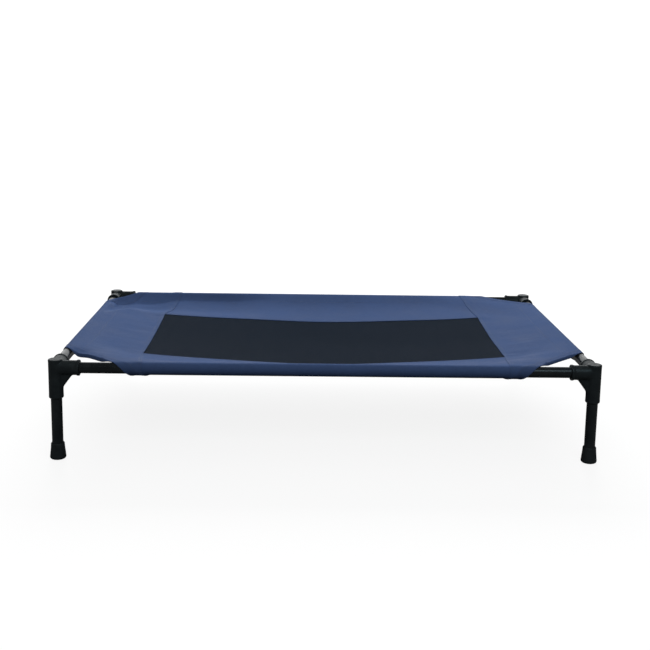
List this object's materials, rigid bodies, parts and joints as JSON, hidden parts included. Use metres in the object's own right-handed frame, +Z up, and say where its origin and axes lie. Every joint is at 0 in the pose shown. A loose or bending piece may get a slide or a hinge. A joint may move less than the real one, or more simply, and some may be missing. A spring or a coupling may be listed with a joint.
{
  "type": "raised pet cot",
  "caption": "Low raised pet cot: round black tube frame in moulded corner connectors, push-in legs with rubber feet, and a stretched navy cover with a dark mesh middle.",
  "frame": {"origin": "on the floor, at the middle of the rectangle of the four legs", "axes": "+X to the right along the long rails, +Y from the front long rail to the rear one, +Z up"},
  "size_m": [1.27, 0.813, 0.236],
  "materials": {
    "connector_plastic": "satin black moulded plastic with a fine grain",
    "tube_black": "black powder coat on steel tube, half gloss",
    "foot_rubber": "matt black rubber",
    "border_cloth": "navy plain-weave coated polyester",
    "mesh_cloth": "dark charcoal open mesh",
    "hem_cloth": "navy plain-weave polyester folded into a stitched hem"
  },
  "bodies": {
    "frame": {"connector_front_left": "connector_plastic", "connector_front_right": "connector_plastic", "connector_rear_left": "connector_plastic", "connector_rear_right": "connector_plastic", "front_rail": "tube_black", "rear_rail": "tube_black", "left_rail": "tube_black", "right_rail": "tube_black", "mesh_panel": "mesh_cloth", "front_strip": "border_cloth", "rear_strip": "border_cloth", "left_end_panel": "border_cloth", "right_end_panel": "border_cloth", "front_sleeve": "border_cloth", "rear_sleeve": "border_cloth", "left_sleeve": "border_cloth", "right_sleeve": "border_cloth", "hem_front_left": "hem_cloth", "hem_front_right": "hem_cloth", "hem_rear_left": "hem_cloth", "hem_rear_right": "hem_cloth"},
    "front_left_leg": {"leg_front_left": "tube_black", "foot_front_left": "foot_rubber"},
    "front_right_leg": {"leg_front_right": "tube_black", "foot_front_right": "foot_rubber"},
    "rear_left_leg": {"leg_rear_left": "tube_black", "foot_rear_left": "foot_rubber"},
    "rear_right_leg": {"leg_rear_right": "tube_black", "foot_rear_right": "foot_rubber"}
  },
  "joints": [
    {"name": "front_left_leg_pull", "type": "slide", "parent": "frame", "child": "front_left_leg", "axis": [0, 0, -1], "range_m": [0, 0.056]},
    {"name": "front_right_leg_pull", "type": "slide", "parent": "frame", "child": "front_right_leg", "axis": [0, 0, -1], "range_m": [0, 0.056]},
    {"name": "rear_left_leg_pull", "type": "slide", "parent": "frame", "child": "rear_left_leg", "axis": [0, 0, -1], "range_m": [0, 0.056]},
    {"name": "rear_right_leg_pull", "type": "slide", "parent": "frame", "child": "rear_right_leg", "axis": [0, 0, -1], "range_m": [0, 0.056]}
  ]
}
